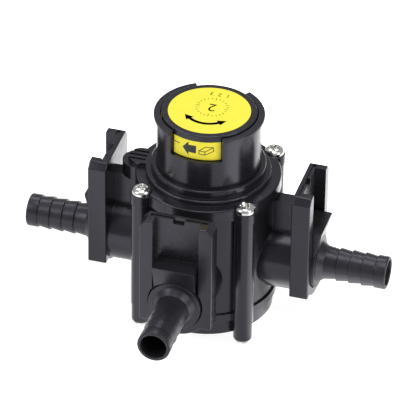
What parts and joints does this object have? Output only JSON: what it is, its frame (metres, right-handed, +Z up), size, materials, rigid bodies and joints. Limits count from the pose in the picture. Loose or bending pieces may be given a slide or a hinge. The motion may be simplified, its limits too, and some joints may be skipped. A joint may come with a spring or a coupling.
{
  "type": "changeover valve",
  "caption": "Liquid changeover valve: round body, barbed ports at the left, right and front held by slide clips, and a turning indicator drum in a shrouded cap.",
  "frame": {"origin": "centre of the bottom cover's flat face, on the body's vertical axis", "axes": "+Z up along the body, +X along the two side ports, the front port towards -Y"},
  "size_m": [0.1524, 0.1058, 0.0947],
  "materials": {
    "moulded_black": "satin-gloss moulded black",
    "fitting_black": "satin moulded black",
    "clip_black": "satin-gloss moulded black",
    "seal_rubber": "matte black rubber",
    "diaphragm_rubber": "matte rubber",
    "label_yellow": "printed yellow film",
    "screw_zinc": "bright zinc plated",
    "insert_steel": "plain steel",
    "steel": "plain stainless",
    "inner_plastic": "natural acetal"
  },
  "bodies": {
    "housing": {"valve_body": "moulded_black", "bottom_cover": "moulded_black", "top_cover": "moulded_black", "indicator_shroud": "moulded_black", "cover_screws": "screw_zinc", "screw_inserts": "insert_steel", "bearing_plate": "inner_plastic", "bearing_plate_seal": "seal_rubber", "shaft_seal": "seal_rubber", "cover_seal": "seal_rubber", "detent_leaf": "steel", "diaphragm": "diaphragm_rubber", "return_spring": "steel", "left_port_gasket": "seal_rubber", "right_port_gasket": "seal_rubber", "front_port_gasket": "seal_rubber"},
    "indicator": {"indicator_drum": "moulded_black", "top_label": "label_yellow", "window_labels": "label_yellow", "drum_pin": "steel", "drive_shaft": "steel", "selector_plug": "inner_plastic", "plug_seals": "seal_rubber", "detent_cam": "inner_plastic"},
    "diaphragm_piston": {"diaphragm_disc": "inner_plastic", "diaphragm_washer": "inner_plastic", "diaphragm_stem": "steel"},
    "left_fitting": {"left_barb_fitting": "fitting_black", "left_fitting_seals": "seal_rubber"},
    "left_clip": {"left_slide_clip": "clip_black"},
    "right_fitting": {"right_barb_fitting": "fitting_black", "right_fitting_seals": "seal_rubber"},
    "right_clip": {"right_slide_clip": "clip_black"},
    "front_fitting": {"front_barb_fitting": "fitting_black", "front_fitting_seals": "seal_rubber"},
    "front_clip": {"front_slide_clip": "clip_black"}
  },
  "joints": [
    {"name": "selector_turn", "type": "hinge", "parent": "housing", "child": "indicator", "pos_m": [0, 0, 0.0277], "axis": [0, 0, 1], "range_deg": [0, 90]},
    {"name": "diaphragm_stroke", "type": "slide", "parent": "housing", "child": "diaphragm_piston", "axis": [0, 0, 1], "range_m": [0, 0.0025], "stiffness_N_per_m": 400, "springref_m": -0.003, "deforming": ["return_spring", "diaphragm"]},
    {"name": "left_fitting_swivel", "type": "hinge", "parent": "housing", "child": "left_fitting", "pos_m": [-0.045, 0, 0.0277], "axis": [-1, 0, 0], "continuous": true},
    {"name": "left_clip_slide", "type": "slide", "parent": "housing", "child": "left_clip", "axis": [0, 0, 1], "range_m": [0, 0.017]},
    {"name": "right_fitting_swivel", "type": "hinge", "parent": "housing", "child": "right_fitting", "pos_m": [0.045, 0, 0.0277], "axis": [1, 0, 0], "continuous": true},
    {"name": "right_clip_slide", "type": "slide", "parent": "housing", "child": "right_clip", "axis": [0, 0, 1], "range_m": [0, 0.017]},
    {"name": "front_fitting_swivel", "type": "hinge", "parent": "housing", "child": "front_fitting", "pos_m": [0, -0.045, 0.0277], "axis": [0, -1, 0], "continuous": true},
    {"name": "front_clip_slide", "type": "slide", "parent": "housing", "child": "front_clip", "axis": [0, 0, 1], "range_m": [0, 0.017]}
  ]
}
